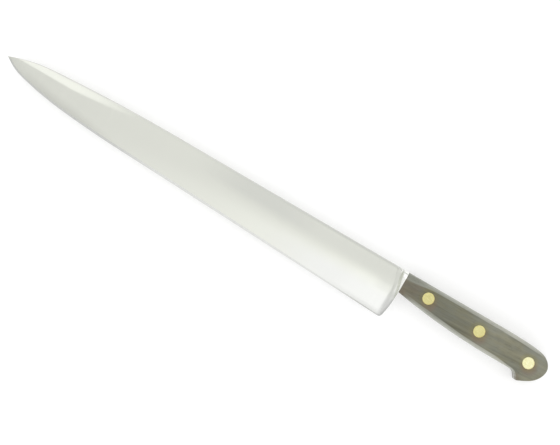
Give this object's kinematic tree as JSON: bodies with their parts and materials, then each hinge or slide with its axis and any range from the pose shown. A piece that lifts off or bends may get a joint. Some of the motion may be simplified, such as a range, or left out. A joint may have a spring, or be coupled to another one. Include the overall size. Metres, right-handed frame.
{
  "type": "carving knife",
  "caption": "Long forged carving knife with a full bolster, a full tang and a riveted wooden handle whose butt ends in a beak.",
  "frame": {"origin": "below the middle of the knife's box, on the surface that it lies on", "axes": "+X from the point to the butt, +Y from the cutting edge to the spine, +Z from the right side up to the left side"},
  "size_m": [0.4296, 0.0366, 0.018],
  "materials": {
    "blade_steel": "satin, ground across the blade",
    "handle_wood": "dark close-grained wood, waxed",
    "rivet_brass": "ground flush with the wood and lightly scratched"
  },
  "bodies": {
    "root": {"blade_forging": "blade_steel", "left_scale": "handle_wood", "right_scale": "handle_wood", "front_rivet_socket": "rivet_brass", "front_rivet_pin": "rivet_brass", "middle_rivet_socket": "rivet_brass", "middle_rivet_pin": "rivet_brass", "rear_rivet_socket": "rivet_brass", "rear_rivet_pin": "rivet_brass"}
  },
  "joints": []
}
